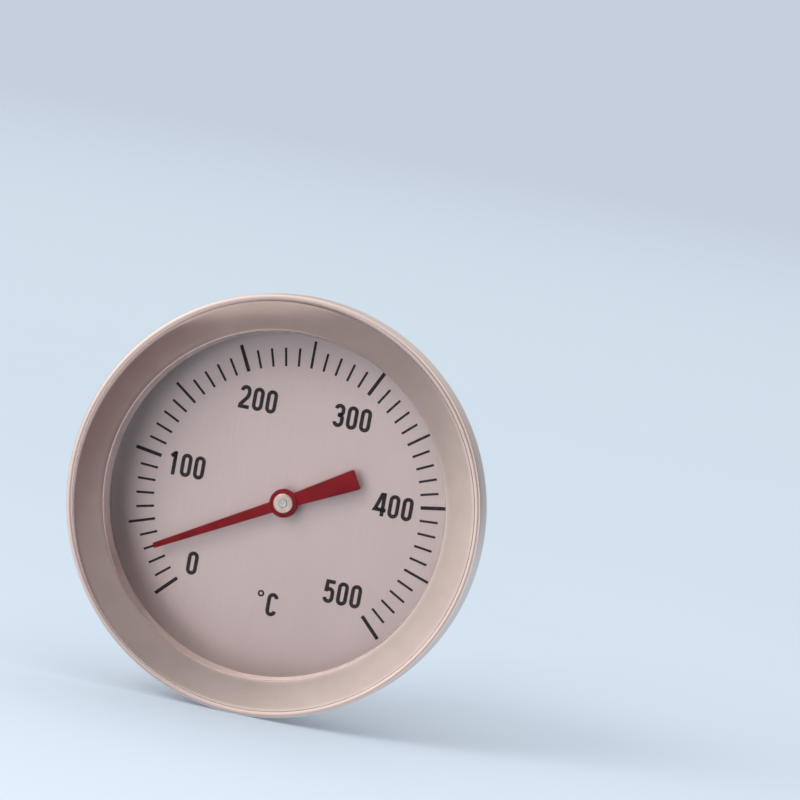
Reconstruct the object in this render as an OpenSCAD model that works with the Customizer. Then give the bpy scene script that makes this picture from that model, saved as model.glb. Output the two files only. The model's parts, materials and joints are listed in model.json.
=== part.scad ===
// Dial thermometer: a bimetal helix in a rear probe turns a pointer over a
// 270 degree dial. A threaded stud behind the case clamps it in a panel.
// Sizes are in millimetres. The dial faces -Y, the probe runs along +Y and
// twelve o'clock is +Z. The origin is on the axis, on the rear boss's face.

/* [Case] */
// Thickness of the pressed case sheet
sheet_t = 0.8; // [0.5:0.1:1]
// Depth inside the case, from its rim flange to the dial's seat
cup_h = 6.6; // [6:0.1:12]
// Width of the ledge between the case wall and the middle step
ledge_w = 5.9; // [3:0.1:10]
// Height of the middle step over the case's rear face
step_h = 2.4; // [1.8:0.1:4]
// Diameter of the rear boss
boss_d = 33.2; // [30:0.2:40]
// Height of the rear boss over the middle step
boss_h = 2.0; // [1.8:0.1:4]
// Outside radius of the bend at the case's shoulder
shoulder_r = 1.9; // [1.3:0.1:3]
// Outside radius of the bend round the middle step
step_edge_r = 1.3; // [1.1:0.1:1.6]
// Outside radius of the bend round the boss
boss_edge_r = 1.2; // [1.1:0.1:1.5]
// Inside radius of the bend at the foot of a step
foot_r = 0.4; // [0.2:0.1:0.6]

/* [Bezel and glass] */
// Outside diameter of the bezel
bezel_d = 76; // [66:0.2:100]
// How far the bezel stands out from the case wall
rim_w = 3.8; // [3.3:0.1:5]
// Thickness of the bezel sheet
bezel_t = 0.8; // [0.5:0.1:0.9]
// Diameter of the clear window
window_d = 62; // [50:0.2:63]
// Radius of the round bead at the bezel's front
bead_r = 1.1; // [1:0.1:1.6]
// Height of the crease between the bead and the dished face
crease_h = 0.1; // [0.05:0.05:0.5]
// Radius of the bend round the window
window_r_bend = 1.0; // [1:0.1:1.4]
// How far the dished face falls from the bead to the window
dish_h = 3.0; // [1:0.1:5]
// Straight length of the window's turned lip, over the glass
lip_h = 0.8; // [0.4:0.1:3]
// Width of the rounded rear shoulder of the bezel
curl_w = 2.0; // [1.6:0.1:2.4]
// Length of the rounded rear shoulder of the bezel
curl_l = 3.2; // [2:0.1:4]
// Width of the bezel's flat rear lip
curl_lip = 0.5; // [0.3:0.1:0.8]
// Thickness of the glass
glass_t = 2.0; // [1.5:0.1:3]
// Thickness of the rubber ring behind the glass
gasket_t = 0.8; // [0.5:0.1:1.5]
// Width of the rubber ring behind the glass
gasket_w = 2.6; // [1.5:0.1:2.8]

/* [Dial and pointer] */
// Thickness of the dial plate
dial_t = 0.5; // [0.3:0.1:1]
// Diameter of the hole in the dial for the pointer's hub
dial_hole_d = 4.4; // [3.6:0.1:6]
// Wall of the spacer sleeve between the dial and the glass
spacer_t = 0.5; // [0.3:0.1:0.8]
// Temperature shown at rest, in degrees Celsius
shown_temp = 30; // [0:10:500]
// Highest temperature of the scale
scale_max = 500; // [100:50:600]
// Angle swept by the whole scale
scale_sweep = 270; // [180:10:300]
// Height of the pointer's rear face over the dial
pointer_gap = 2.2; // [1.4:0.1:2.6]
// Thickness of the pointer
pointer_t = 0.6; // [0.3:0.1:0.8]
// Length of the pointer from the axis to its tip
pointer_l = 25.1; // [15:0.1:29]
// Width of the pointer at its tip
pointer_tip_w = 0.6; // [0.3:0.1:1]
// Width of the pointer where it meets its ring
pointer_root_w = 2.1; // [1.2:0.1:3]
// Length of the tail from the axis
tail_l = 14.3; // [8:0.1:20]
// Width of the tail at its end
tail_w = 3.8; // [2:0.1:6]
// Diameter of the pointer's ring
ring_d = 4.9; // [4.4:0.1:7]
// Diameter of the hub's head
hub_d = 3.6; // [3:0.1:4]
// Height of the hub's head over the pointer
hub_head_h = 0.3; // [0.2:0.1:0.6]
// Diameter of the hub's sleeve behind its head
hub_sleeve_d = 2.6; // [2.2:0.1:2.9]
// Length of the hub's sleeve behind the pointer
hub_sleeve_l = 1.3; // [0.4:0.1:1.3]

/* [Stud and fasteners] */
// Outside diameter of the stud's thread
thread_d = 12; // [10.5:0.5:13]
// Pitch of the stud's thread
thread_pitch = 1.75; // [1:0.25:2]
// Length of the stud behind the boss
stud_l = 32; // [25:0.5:45]
// Height of the chamfer at the stud's end
stud_chamfer = 1.1; // [0.4:0.1:1.1]
// Wall of the stud round its open end
stud_mouth_wall = 1.6; // [1.3:0.1:2]
// Depth of the open end of the stud
stud_mouth_l = 6; // [3:0.5:12]
// Diameter of the stud's head inside the boss
stud_head_d = 22; // [18:0.5:25]
// Thickness of the stud's head
stud_head_t = 1.5; // [1:0.1:1.6]
// Thickness of the fibre washer under the stud's head
seal_t = 0.6; // [0.3:0.1:0.8]
// Outside diameter of the fibre washer
seal_d = 20; // [17:0.5:24]
// Outside diameter of the flat washer
washer_d = 28; // [24:0.5:36]
// Radial gap of the flat washer round the thread
washer_hole_gap = 0.5; // [0.3:0.1:1.5]
// Thickness of the flat washer
washer_t = 1.2; // [0.8:0.1:2]
// Width of the nut across its flats
nut_af = 18; // [17:0.5:22]
// Height of the nut
nut_h = 10; // [7:0.5:12]
// Height of the nut's chamfer at each corner
nut_chamfer = 1.0; // [0.5:0.1:1.5]
// Space between the boss and the flat washer at rest
panel_gap = 5.3; // [4.6:0.1:8]

/* [Stem] */
// Outside diameter of the stem
stem_d = 7.5; // [7:0.1:7.8]
// Wall of the stem's tube
stem_wall = 0.6; // [0.4:0.1:0.7]
// How much thinner the stem's seat in the stud is turned, on the radius
seat_turn = 0.2; // [0.16:0.01:0.25]
// How far the turned seat reaches out of the stud
seat_out = 0.3; // [0.2:0.1:1]
// Length of the stem beyond the stud
stem_free_l = 70; // [65:1:200]
// Length of the end cap outside the tube
cap_h = 2.0; // [1.2:0.1:4]
// Radius of the cap's rounded edge
cap_edge_r = 0.9; // [0.4:0.1:1.1]
// Length of the cap's spigot inside the tube
plug_l = 8.6; // [7:0.1:14]
// Diameter of the pin through the cap's spigot
pin_d = 1.9; // [1:0.1:2.4]
// Distance of the pin from the end of the stem
pin_inset = 5.7; // [4.6:0.1:7.4]
// How far each end of the pin stands out of the stem
pin_head_h = 0.05; // [0:0.05:0.3]

/* [Movement] */
// Diameter of the spindle
spindle_d = 1.5; // [1:0.1:1.8]
// How far the spindle stands out of the hub
spindle_nose_h = 0.15; // [0.05:0.05:0.3]
// Mean diameter of the bimetal helix
coil_d = 4.6; // [4.2:0.1:5]
// Length of the bimetal helix
coil_l = 30; // [16:1:36]
// Number of turns of the bimetal helix
coil_turns = 15; // [6:1:18]
// Thickness of the bimetal strip
strip_t = 0.3; // [0.2:0.05:0.4]
// Width of the bimetal strip
strip_w = 1.2; // [0.6:0.1:1.3]
// Length of the collar that carries the helix on the spindle
collar_l = 4; // [3:0.1:6]
// How much of the helix is wrapped round each of its carriers
wrap_l = 2.4; // [1.4:0.1:3]
// Thickness of the anchor's disc in the stem
anchor_t = 3; // [2:0.1:5]
// Length of the spindle's guide bush in the stem
guide_l = 4; // [2:0.1:6]
// Length of the upper bearing's flange
bearing_flange_t = 0.8; // [0.4:0.1:1]
// Diameter of the upper bearing's flange
bearing_flange_d = 9.2; // [8.4:0.1:12]
// Length of the upper bearing inside the stud
bearing_l = 4; // [2:0.1:6]

/* [Clearances] */
// Radial gap of a pressed seat
press_gap = 0.02; // [0.01:0.01:0.04]
// Radial running gap of the spindle in its bearings
running_gap = 0.05; // [0.03:0.01:0.09]
// Radial running gap of the nut on the stud
thread_gap = 0.05; // [0.03:0.01:0.09]
// Gap between the nut and the loose washer
washer_gap = 0.1; // [0.05:0.05:0.3]
// Radial gap of the sleeve in the case
sleeve_gap = 0.1; // [0.05:0.05:0.3]
// Radial gap of the dial in the case
dial_gap = 0.4; // [0.2:0.1:0.6]
// Radial gap between the bezel's wall and the parts it clamps
bezel_gap = 0.4; // [0.3:0.1:0.5]
// Radial gap between the case's hole and the stud
hole_gap = 0.05; // [0.03:0.01:0.3]

/* [Hidden] */
$fn = 96;
bend_steps = 8;
coil_steps = 24;

// Radii that follow from the driving sizes
bezel_r = bezel_d / 2;
case_r = bezel_r - rim_w;
case_bore_r = case_r - sheet_t;
step_r = case_r - ledge_w;
boss_r = boss_d / 2;
bezel_bore_r = bezel_r - bezel_t;
window_r = window_d / 2;
flange_r = bezel_bore_r - 1.5 * bezel_gap;
glass_r = bezel_bore_r - bezel_gap;
gasket_r = flange_r - bezel_gap / 2;
dial_r = case_bore_r - dial_gap;
stem_r = stem_d / 2;
seat_r = stem_r - seat_turn;
stem_bore_r = stem_r - stem_wall;
fit_in_stem_r = stem_bore_r - press_gap;
thread_r = thread_d / 2;
stud_bore_r = seat_r + press_gap;
spindle_r = spindle_d / 2;
bearing_r = spindle_r + running_gap;
carrier_r = (coil_d - strip_t) / 2 - 2 * press_gap;

// The dial's rim rests on the bend inside the case's shoulder: how high it
// stands over the flat bottom follows from where its rim meets that bend
seat_bend = shoulder_r - sheet_t;
seat_reach = max(0, dial_r - case_r + shoulder_r);
dial_rise = seat_bend - sqrt(seat_bend ^ 2 - seat_reach ^ 2) + press_gap;

// Stations along the axis, from the boss's face forwards
y_step = -boss_h;
y_back = y_step - step_h;
y_seat = y_back - sheet_t;
y_dial = y_seat - dial_rise - dial_t;
y_flange = y_seat - cup_h;
y_glass_rear = y_flange - gasket_t;
y_glass = y_glass_rear - glass_t;
y_window_bend = y_glass - lip_h;
y_front = y_window_bend - window_r_bend - dish_h;
y_bezel_rear = y_flange + sheet_t + bezel_t;
y_pointer = y_dial - pointer_gap;
y_hub = y_pointer - pointer_t - hub_head_h;
y_nose = y_hub - spindle_nose_h;

// Stations along the axis, from the boss's face backwards
y_seal = -sheet_t - seal_t;
y_head = y_seal - stud_head_t;
y_bearing_end = y_head + bearing_l;
y_tip = stud_l + stem_free_l;
y_cap = y_tip - cap_h;
y_plug = y_cap - plug_l;
y_anchor = y_plug - anchor_t;
y_coil_end = y_anchor;
y_coil = y_coil_end - coil_l;
y_collar = y_coil + wrap_l - collar_l;
y_guide = (y_bearing_end + y_collar - guide_l) / 2;
y_washer = panel_gap;
y_nut = y_washer + washer_t + washer_gap;

// Clockwise angle of the pointer from twelve o'clock
pointer_turn = -scale_sweep / 2 + scale_sweep * shown_temp / scale_max;

// Points of an elliptical arc round [x, y], from angle a to angle b
function arc(x, y, rx, ry, a, b) = [for (i = [0:bend_steps])
    let (t = a + (b - a) * i / bend_steps) [x + rx * cos(t), y + ry * sin(t)]];

// Points of a list in the opposite order
function reversed(list) = [for (i = [len(list) - 1:-1:0]) list[i]];

// Bend where a surface turns over an outer edge at radius r and height y.
// On a sheet the depth is 0 on the outer surface and sheet_t on the inner one.
function edge_bend(r, y, bend, depth) =
    arc(r - bend, y - bend, bend - depth, bend - depth, 0, 90);

// Bend at the foot of a wall of radius r that rises from height y
function foot_bend(r, y, depth) =
    arc(r + foot_r, y + foot_r, foot_r + depth, foot_r + depth, 270, 180);

// One surface of the pressed case, from the rim flange to the stud's hole
function case_surface(depth) = concat(
    foot_bend(case_r, y_flange + sheet_t, depth),
    edge_bend(case_r, y_back, shoulder_r, depth),
    foot_bend(step_r, y_back, depth),
    edge_bend(step_r, y_step, step_edge_r, depth),
    foot_bend(boss_r, y_step, depth),
    edge_bend(boss_r, 0, boss_edge_r, depth),
    [[thread_r + hole_gap, -depth]]);

// One surface of the rolled bezel, from the window's lip to the rear lip
function bezel_surface(depth) =
    let (roll = [window_r + window_r_bend, y_window_bend])
    let (bead = [bezel_r - bead_r, y_front + bead_r])
    let (run = bead - roll)
    let (face = atan2(run[1], run[0]) + 270 + asin((window_r_bend - bead_r + crease_h) / norm(run)))
    let (step = depth == 0 ? crease_h : 0)
    let (curl_y = y_bezel_rear - curl_l)
    concat(
        [[window_r + depth, y_glass]],
        arc(roll[0], roll[1], window_r_bend - depth, window_r_bend - depth, 180, face),
        [bead + (bead_r - depth - step) * [cos(face), sin(face)]],
        arc(bead[0], bead[1], bead_r - depth, bead_r - depth, face, 360),
        arc(bezel_r - curl_w, curl_y, curl_w - depth, curl_l - depth, 0, 90),
        [[bezel_r - curl_w - curl_lip, y_bezel_rear - depth]]);

// Points of one section of the bimetal strip, at the turn fraction f
function strip_section(f) =
    let (a = 360 * coil_turns * f)
    let (y = y_coil + (coil_l - strip_w) * f)
    [for (corner = [[-1, 0], [1, 0], [1, 1], [-1, 1]])
        let (r = (coil_d + corner[0] * strip_t) / 2)
        [r * cos(a), r * sin(a), y + corner[1] * strip_w]];

// Turns a solid made along Z so that its length runs along Y
module along_y(y = 0) {
    translate([0, y, 0])
        rotate([-90, 0, 0])
            children();
}

// A ring or bush along the axis, from station y
module bush(y, length, outer_r, bore_r) {
    along_y(y)
        difference() {
            cylinder(h = length, r = outer_r);
            translate([0, 0, -1])
                cylinder(h = length + 2, r = bore_r);
        }
}

// A solid of revolution from the outer and inner surfaces of a pressed sheet
module pressed(outer, inner) {
    along_y()
        rotate_extrude()
            polygon(concat(outer, reversed(inner)));
}

// Stepped cup with a rolled-out rim flange and a hole for the stud
module case_shell() {
    tip_x = flange_r - sheet_t;
    tip = arc(tip_x, y_flange, sheet_t, sheet_t, 0, 90);
    color([0.71, 0.71, 0.73])
        pressed(concat(tip, case_surface(0)), case_surface(sheet_t));
}

// Dished front ring, crimped behind the case's flange
module bezel_ring() {
    color([0.72, 0.67, 0.65])
        pressed(bezel_surface(0), bezel_surface(bezel_t));
}

module glass() {
    color([0.85, 0.92, 0.93, 0.3])
        along_y(y_glass)
            cylinder(h = glass_t, r = glass_r);
}

module glass_gasket() {
    color([0.1, 0.1, 0.1])
        bush(y_glass_rear, gasket_t, gasket_r, gasket_r - gasket_w);
}

// Sleeve that holds the dial against its seat and carries the glass
module spacer_sleeve() {
    outer_r = case_bore_r - sleeve_gap;
    color([0.66, 0.65, 0.64])
        bush(y_glass_rear, y_dial - y_glass_rear, outer_r, outer_r - spacer_t);
}

module dial_plate() {
    color([0.74, 0.7, 0.69])
        bush(y_dial, dial_t, dial_r, dial_hole_d / 2);
}

// Tapered arm, ring and flared tail, turned to the temperature shown
module pointer() {
    arm = [[pointer_root_w / 2, 0], [pointer_tip_w / 2, pointer_l],
        [-pointer_tip_w / 2, pointer_l], [-pointer_root_w / 2, 0],
        [-tail_w / 2, -tail_l], [tail_w / 2, -tail_l]];
    color([0.65, 0.1, 0.16])
        along_y(y_pointer - pointer_t)
            rotate(180 + pointer_turn)
                difference() {
                    union() {
                        linear_extrude(pointer_t)
                            polygon(arm);
                        cylinder(h = pointer_t, d = ring_d);
                    }
                    translate([0, 0, -1])
                        cylinder(h = pointer_t + 2, r = hub_sleeve_d / 2 + press_gap);
                }
}

// Headed sleeve that joins the pointer to the spindle
module pointer_hub() {
    length = hub_head_h + pointer_t + hub_sleeve_l;
    color([0.82, 0.78, 0.68])
        along_y(y_hub)
            difference() {
                union() {
                    cylinder(h = hub_head_h, d = hub_d);
                    cylinder(h = length, d = hub_sleeve_d);
                }
                translate([0, 0, -1])
                    cylinder(h = length + 2, r = spindle_r + press_gap);
            }
}

// Shaft from the pointer through the bearings to its pivot in the anchor
module spindle() {
    color([0.6, 0.6, 0.62])
        along_y(y_nose)
            cylinder(h = y_plug - anchor_t / 3 - y_nose, r = spindle_r);
}

// Flanged bush that carries the spindle where it leaves the stud
module upper_bearing() {
    color([0.78, 0.62, 0.3])
        along_y(y_head - bearing_flange_t)
            difference() {
                union() {
                    cylinder(h = bearing_flange_t, d = bearing_flange_d);
                    cylinder(h = bearing_flange_t + bearing_l, r = seat_r);
                }
                translate([0, 0, -1])
                    cylinder(h = bearing_flange_t + bearing_l + 2, r = bearing_r);
            }
}

module spindle_guide() {
    color([0.78, 0.62, 0.3])
        bush(y_guide, guide_l, fit_in_stem_r, bearing_r);
}

// Collar on the spindle that the upper end of the helix is wrapped round
module coil_collar() {
    color([0.7, 0.58, 0.34])
        bush(y_collar, collar_l, carrier_r, spindle_r + press_gap);
}

// Bimetal strip wound on edge into a helix
module bimetal_coil() {
    sections = coil_turns * coil_steps;
    points = [for (i = [0:sections]) each strip_section(i / sections)];
    sides = [for (i = [0:sections - 1]) for (j = [0:3])
        let (k = (j + 1) % 4)
        [4 * i + k, 4 * i + j, 4 * (i + 1) + j, 4 * (i + 1) + k]];
    last = 4 * sections;
    ends = [[0, 1, 2, 3], [last + 3, last + 2, last + 1, last]];
    color([0.7, 0.6, 0.45])
        along_y()
            polyhedron(points, concat(ends, sides), convexity = 10);
}

// Disc and spigot that hold the lower end of the helix and the spindle's pivot
module coil_anchor() {
    color([0.7, 0.58, 0.34])
        along_y(y_coil_end - wrap_l)
            difference() {
                union() {
                    cylinder(h = wrap_l + anchor_t, r = carrier_r);
                    translate([0, 0, wrap_l])
                        cylinder(h = anchor_t, r = fit_in_stem_r);
                }
                translate([0, 0, -1])
                    cylinder(h = wrap_l + anchor_t + 2, r = bearing_r);
            }
}

// Pin that locks the cap in the tube
module anchor_pin() {
    length = stem_d + 2 * pin_head_h;
    color([0.62, 0.61, 0.6])
        translate([-length / 2, y_tip - pin_inset, 0])
            rotate([0, 90, 0])
                cylinder(h = length, d = pin_d);
}

// Cross hole for the pin
module pin_hole() {
    translate([-stem_d, y_tip - pin_inset, 0])
        rotate([0, 90, 0])
            cylinder(h = 2 * stem_d, r = pin_d / 2 + press_gap);
}

// Solid end of the stem with a spigot inside the tube
module stem_cap() {
    profile = concat([[0, y_plug], [fit_in_stem_r, y_plug], [fit_in_stem_r, y_cap], [stem_r, y_cap]],
        edge_bend(stem_r, y_tip, cap_edge_r, 0),
        [[0, y_tip]]);
    color([0.66, 0.63, 0.6])
        difference() {
            along_y()
                rotate_extrude()
                    polygon(profile);
            pin_hole();
        }
}

// Tube with a seat turned down where it goes into the stud
module stem_tube() {
    y_shoulder = stud_l + seat_out;
    color([0.66, 0.63, 0.6])
        difference() {
            along_y()
                rotate_extrude()
                    polygon([[stem_bore_r, y_bearing_end], [seat_r, y_bearing_end], [seat_r, y_shoulder],
                        [stem_r, y_shoulder], [stem_r, y_cap], [stem_bore_r, y_cap]]);
            pin_hole();
        }
}

// Hollow stud: its head lies inside the boss and its open end clears the stem
module threaded_stud() {
    color([0.64, 0.58, 0.52])
        along_y()
            difference() {
                union() {
                    translate([0, 0, y_head])
                        cylinder(h = stud_head_t, d = stud_head_d);
                    translate([0, 0, y_head])
                        cylinder(h = stud_l - stud_chamfer - y_head, r = thread_r);
                    translate([0, 0, stud_l - stud_chamfer])
                        cylinder(h = stud_chamfer, r1 = thread_r, r2 = thread_r - stud_chamfer);
                }
                translate([0, 0, y_head - 1])
                    cylinder(h = stud_l - y_head + 2, r = stud_bore_r);
                translate([0, 0, stud_l - stud_mouth_l])
                    cylinder(h = stud_mouth_l + 1, r = thread_r - stud_mouth_wall);
            }
}

module stud_seal() {
    color([0.55, 0.2, 0.12])
        bush(y_seal, seal_t, seal_d / 2, thread_r + hole_gap);
}

// Loose washer with broken edges
module flat_washer() {
    bevel = washer_t / 8;
    hole_r = thread_r + washer_hole_gap;
    rim_r = washer_d / 2;
    color([0.68, 0.64, 0.62])
        along_y(y_washer)
            rotate_extrude()
                polygon([[hole_r, 0], [rim_r - bevel, 0], [rim_r, bevel], [rim_r, washer_t - bevel],
                    [rim_r - bevel, washer_t], [hole_r, washer_t]]);
}

// Hexagon nut, chamfered on both faces and countersunk at both mouths
module hex_nut() {
    corner_r = nut_af / 2 / cos(30);
    bore_r = thread_r + thread_gap;
    face_r = nut_af / 2 - thread_gap;
    sink = thread_pitch / 3;
    color([0.7, 0.69, 0.7])
        along_y(y_nut)
            difference() {
                intersection() {
                    cylinder(h = nut_h, r = corner_r, $fn = 6);
                    rotate_extrude()
                        polygon([[0, 0], [face_r, 0], [corner_r, nut_chamfer],
                            [corner_r, nut_h - nut_chamfer], [face_r, nut_h], [0, nut_h]]);
                }
                translate([0, 0, -1])
                    cylinder(h = nut_h + 2, r = bore_r);
                translate([0, 0, -sink])
                    cylinder(h = 2 * sink, r1 = bore_r + 2 * sink, r2 = bore_r);
                translate([0, 0, nut_h - sink])
                    cylinder(h = 2 * sink, r1 = bore_r, r2 = bore_r + 2 * sink);
            }
}

case_shell();
bezel_ring();
glass();
glass_gasket();
spacer_sleeve();
dial_plate();
pointer();
pointer_hub();
spindle();
upper_bearing();
spindle_guide();
coil_collar();
bimetal_coil();
coil_anchor();
anchor_pin();
stem_cap();
stem_tube();
threaded_stud();
stud_seal();
flat_washer();
hex_nut();
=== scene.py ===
# %% [markdown]
# # A dial thermometer for an oven or smoker
# A bimetal helix in the stem turns a red pointer over a brushed dial. The
# case is pressed steel, and a threaded stud with a washer and a nut clamps
# it in a panel. The construction model is loaded first: it gives every piece
# its place and real size. The pieces that show are then modelled again with
# finer edges, and the hidden ones keep their construction shape.

# %% Load the construction model
import json
import math

import bmesh
import bpy
from mathutils import Matrix, Quaternion, Vector

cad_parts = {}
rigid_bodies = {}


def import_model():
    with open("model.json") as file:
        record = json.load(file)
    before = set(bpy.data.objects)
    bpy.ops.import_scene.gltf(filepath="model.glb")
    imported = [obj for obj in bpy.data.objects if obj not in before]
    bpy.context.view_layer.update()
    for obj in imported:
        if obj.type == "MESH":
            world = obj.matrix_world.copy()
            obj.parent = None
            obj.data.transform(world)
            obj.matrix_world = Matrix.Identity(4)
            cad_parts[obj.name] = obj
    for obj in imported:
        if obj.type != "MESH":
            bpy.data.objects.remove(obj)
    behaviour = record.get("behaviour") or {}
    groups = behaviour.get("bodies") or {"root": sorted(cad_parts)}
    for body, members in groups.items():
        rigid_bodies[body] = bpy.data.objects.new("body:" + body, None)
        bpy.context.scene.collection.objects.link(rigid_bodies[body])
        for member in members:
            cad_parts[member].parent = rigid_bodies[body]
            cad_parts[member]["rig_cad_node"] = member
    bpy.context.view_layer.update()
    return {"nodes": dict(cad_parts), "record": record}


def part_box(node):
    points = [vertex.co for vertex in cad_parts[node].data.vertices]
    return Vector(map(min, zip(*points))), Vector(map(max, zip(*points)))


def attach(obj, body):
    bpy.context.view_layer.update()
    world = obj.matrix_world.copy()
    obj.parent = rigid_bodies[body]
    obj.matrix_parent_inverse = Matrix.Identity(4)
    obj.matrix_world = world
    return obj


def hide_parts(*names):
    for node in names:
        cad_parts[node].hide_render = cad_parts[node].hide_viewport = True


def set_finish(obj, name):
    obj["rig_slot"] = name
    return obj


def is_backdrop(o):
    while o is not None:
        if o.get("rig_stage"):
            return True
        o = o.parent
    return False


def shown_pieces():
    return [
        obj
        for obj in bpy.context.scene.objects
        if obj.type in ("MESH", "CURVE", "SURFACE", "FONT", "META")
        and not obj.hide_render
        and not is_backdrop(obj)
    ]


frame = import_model()

# %% [markdown]
# ## Stations
# The dial faces -Y and the stem runs along +Y, so a round piece is described
# by two numbers: its distance from the axis and its station along it. Both
# are kept in millimetres here, as a maker's drawing would, and become metres
# when a mesh is made. The stations come from the construction nodes' boxes.

# %% Read the stations
MM = 0.001


def station(node, end):
    """Station of a node's front (0) or rear (1) end, in millimetres."""
    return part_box(node)[end].y / MM


def reach(node):
    """Distance from the axis to a node's outermost point, in millimetres."""
    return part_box(node)[1].x / MM


bezel_r = reach("bezel_ring")
bezel_front, bezel_rear = station("bezel_ring", 0), station("bezel_ring", 1)
dial_front = station("dial_plate", 0)
pointer_front, pointer_rear = station("pointer", 0), station("pointer", 1)
stud_end = station("threaded_stud", 1)
nut_front, nut_rear = station("hex_nut", 0), station("hex_nut", 1)
print("bezel radius", round(bezel_r, 2), "stud end", round(stud_end, 2))

# %% [markdown]
# ## Camera
# The dial is seen from a little to its right and a little above, through a
# long lens, and the thermometer leans clockwise in the frame. A camera could
# be shifted to place the dial off centre, but a shift would follow it into
# every other view, so the camera is turned instead: it looks past the dial
# by the angle that puts the dial where it belongs in the frame.

# %% Place the camera
VIEW_TURN, VIEW_RISE, VIEW_ROLL = math.radians(11.6), math.radians(5.4), math.radians(10.4)
LENS, FRAME_SIDE, VIEW_DISTANCE = 225, 800, 0.908
DIAL_IN_FRAME = (287.4, 502.3)

camera_data = bpy.data.cameras.new("camera")
camera_data.lens = LENS
camera = bpy.data.objects.new("camera", camera_data)
bpy.context.scene.collection.objects.link(camera)
bpy.context.scene.camera = camera

dial_centre = Vector((0, dial_front * MM, 0))
back = Vector((
    math.sin(VIEW_TURN) * math.cos(VIEW_RISE),
    -math.cos(VIEW_TURN) * math.cos(VIEW_RISE),
    math.sin(VIEW_RISE)))
lens_in_frame = LENS / camera_data.sensor_width * FRAME_SIDE
to_dial = Vector((
    (DIAL_IN_FRAME[0] - FRAME_SIDE / 2) / lens_in_frame,
    (FRAME_SIDE / 2 - DIAL_IN_FRAME[1]) / lens_in_frame,
    -1)).normalized()
camera.location = dial_centre + back * VIEW_DISTANCE
camera.rotation_mode = "QUATERNION"
camera.rotation_quaternion = (
    (-back).to_track_quat("-Z", "Y")
    @ Quaternion((0, 0, 1), VIEW_ROLL)
    @ to_dial.rotation_difference(Vector((0, 0, -1))))
camera_data.clip_start, camera_data.clip_end = 0.05, 200
print("camera at", tuple(round(v, 3) for v in camera.location))

# %% [markdown]
# ## Helpers for nodes
# A finish is a small graph of nodes, and so is the light in the studio. These
# helpers keep the graphs short. One adds a node with its settings and inputs,
# and one turns the colour of a paint card, given in 0 to 255, into the linear
# colour that a shader takes.

# %% Node helpers
def linear(*card):
    """Linear colour of a paint card given in 0 to 255."""
    return tuple(
        c / 255 / 12.92 if c <= 10 else ((c / 255 + 0.055) / 1.055) ** 2.4 for c in card)


def node(tree, kind, inputs=None, **settings):
    """Adds a node. Each input is a number or the socket that feeds it."""
    made = tree.nodes.new(kind)
    for key, value in settings.items():
        setattr(made, key, value)
    for key, value in (inputs or {}).items():
        if isinstance(value, bpy.types.NodeSocket):
            tree.links.new(value, made.inputs[key])
        else:
            made.inputs[key].default_value = value
    return made


def ramp(tree, factor, *stops):
    """Colour ramp through (place, colour) stops."""
    made = node(tree, "ShaderNodeValToRGB", {"Fac": factor})
    elements = made.color_ramp.elements
    while len(elements) < len(stops):
        elements.new(0.5)
    for element, (place, colour) in zip(elements, stops):
        element.position = place
        element.color = (*colour, 1)
    return made.outputs["Color"]


def between(tree, value, low, high):
    """Smooth step from 0 at low to 1 at high."""
    made = node(tree, "ShaderNodeMapRange", {
        "Value": value, "From Min": low, "From Max": high}, interpolation_type="SMOOTHSTEP")
    return made.outputs["Result"]


def object_place(tree):
    """Place on a piece, in its own coordinates."""
    return node(tree, "ShaderNodeTexCoord").outputs["Object"]


def maths(tree, operation, first, second=0.0):
    """One sum on one or two numbers."""
    return node(tree, "ShaderNodeMath", {0: first, 1: second}, operation=operation).outputs["Value"]


def mix(tree, factor, first, second):
    """Mixes two colours."""
    made = node(tree, "ShaderNodeMix", data_type="RGBA")
    for key, value in ((0, factor), (6, first), (7, second)):
        if isinstance(value, bpy.types.NodeSocket):
            tree.links.new(value, made.inputs[key])
        else:
            made.inputs[key].default_value = value if key == 0 else (*value, 1)
    return made.outputs[2]


print("a mid grey card is", round(linear(128)[0], 3), "in linear light")

# %% [markdown]
# ## The studio
# The thermometer stands on pale blue paper that runs back out of sight. The
# paper is a disc whose edge fades into the world's own pale blue, so no
# horizon shows. The world lights plain surfaces with a soft, even and slightly
# warm white. Metal sees a studio instead: in front a bright sheet up to the
# left and a darker room low on the right, light walls at the sides, behind
# blue paper below and a peach sheet above, and a few round patches. Without
# that difference polished steel would look like grey paint.

# %% Light the studio
PAPER = linear(198, 207, 222)
scene = bpy.context.scene
scene.view_settings.view_transform = "Standard"

world = bpy.data.worlds.new("studio")
scene.world = world
world.use_nodes = True
tree = world.node_tree
tree.nodes.clear()
direction = node(tree, "ShaderNodeTexCoord").outputs["Generated"]


def towards(tree, *aim):
    """How far a direction points towards the aim, from -1 to 1."""
    aim = Vector(aim).normalized()
    made = node(tree, "ShaderNodeVectorMath", {0: direction, 1: aim}, operation="DOT_PRODUCT")
    return made.outputs["Value"]


def half_range(tree, value):
    """Brings a value from -1 to 1 into 0 to 1."""
    return node(tree, "ShaderNodeMapRange", {
        "Value": value, "From Min": -1.0, "From Max": 1.0}).outputs["Result"]


def patch(room, aim, low, high, colour):
    """Adds a round patch to the room: none of it below low, all of it above high."""
    return mix(tree, between(tree, towards(tree, *aim), low, high), room, colour)


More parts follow.
